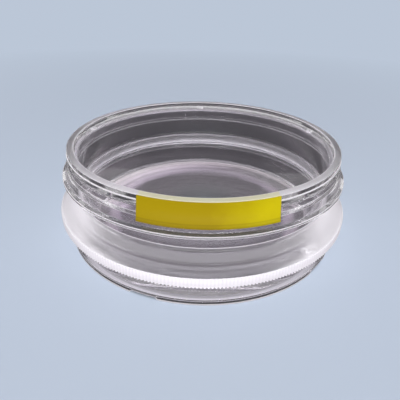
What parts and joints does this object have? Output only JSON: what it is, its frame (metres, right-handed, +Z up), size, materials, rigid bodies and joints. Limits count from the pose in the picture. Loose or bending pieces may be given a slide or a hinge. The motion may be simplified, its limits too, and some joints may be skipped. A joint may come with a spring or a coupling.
{
  "type": "cell culture dish",
  "caption": "Round clear cell culture dish with a toothed grip ring round its base, a notched foot, a vented stacking lid resting on its rim, and a plain yellow label.",
  "frame": {"origin": "centre of the foot ring's underside, on the surface that the dish stands on", "axes": "+Z up along the axis of the dish; -Y is the side that carries the label"},
  "size_m": [0.04, 0.04, 0.0129],
  "materials": {
    "dish_polystyrene": "clear moulded polystyrene, polished",
    "lid_polystyrene": "clear moulded polystyrene, polished",
    "label_film": "yellow adhesive film, satin, bare"
  },
  "bodies": {
    "root": {"dish": "dish_polystyrene", "lid": "lid_polystyrene", "label": "label_film"}
  },
  "joints": []
}
